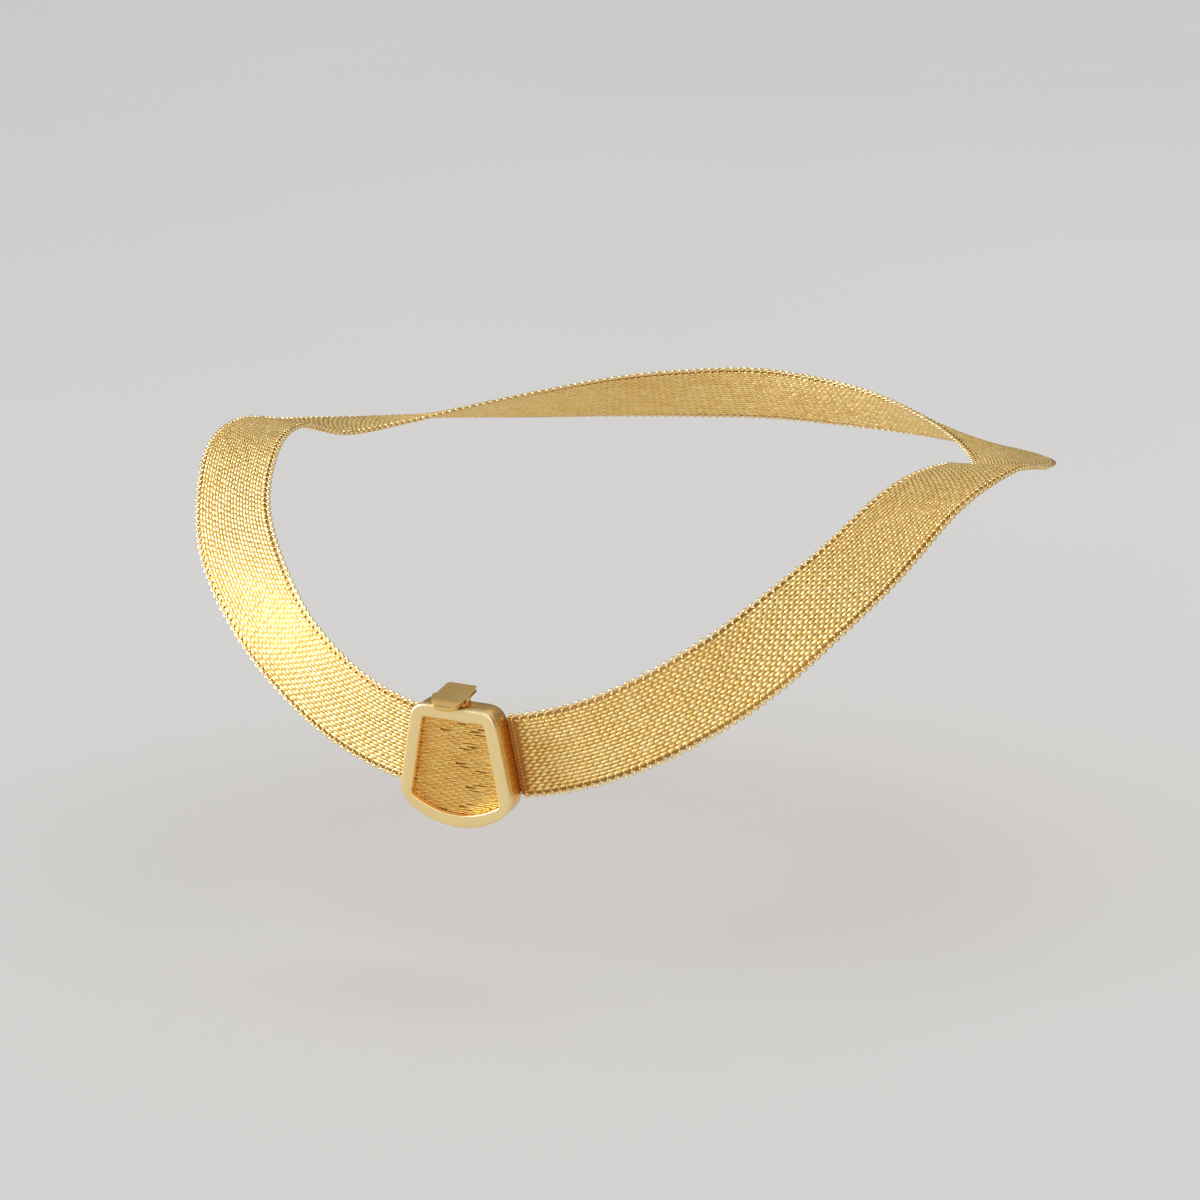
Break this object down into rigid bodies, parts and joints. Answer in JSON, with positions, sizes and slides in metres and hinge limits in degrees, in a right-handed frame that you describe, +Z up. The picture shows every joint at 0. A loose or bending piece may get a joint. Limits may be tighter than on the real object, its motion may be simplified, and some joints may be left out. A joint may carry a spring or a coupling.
{
  "type": "collar choker necklace",
  "caption": "Flat woven gold mesh collar necklace edged with fine ring chain, closed in front by a framed clasp with a hinged thumb lever.",
  "frame": {"origin": "the middle of the neck, level with where the collar sits on the shoulders at each side", "axes": "+Z up, the clasp faces -Y, +X to the viewer's right when the clasp faces the viewer"},
  "size_m": [0.1616, 0.155, 0.0565],
  "materials": {
    "mesh_gold": "woven, soft shine",
    "chain_gold": "polished",
    "polished_gold": "satin polish",
    "lever_gold": "satin polish"
  },
  "bodies": {
    "collar": {"mesh_band": "mesh_gold", "edge_chain_inner": "chain_gold", "edge_chain_outer": "chain_gold", "clasp_box": "polished_gold", "clasp_frame": "polished_gold", "clasp_mesh": "mesh_gold", "lever_pin": "polished_gold"},
    "lever": {"clasp_lever": "lever_gold"}
  },
  "joints": [
    {"name": "lever_hinge", "type": "hinge", "parent": "collar", "child": "lever", "pos_m": [-0.00274, -0.08804, -0.02064], "axis": [-0.998, 0.0393, 0.0487], "range_deg": [0, 20]}
  ]
}
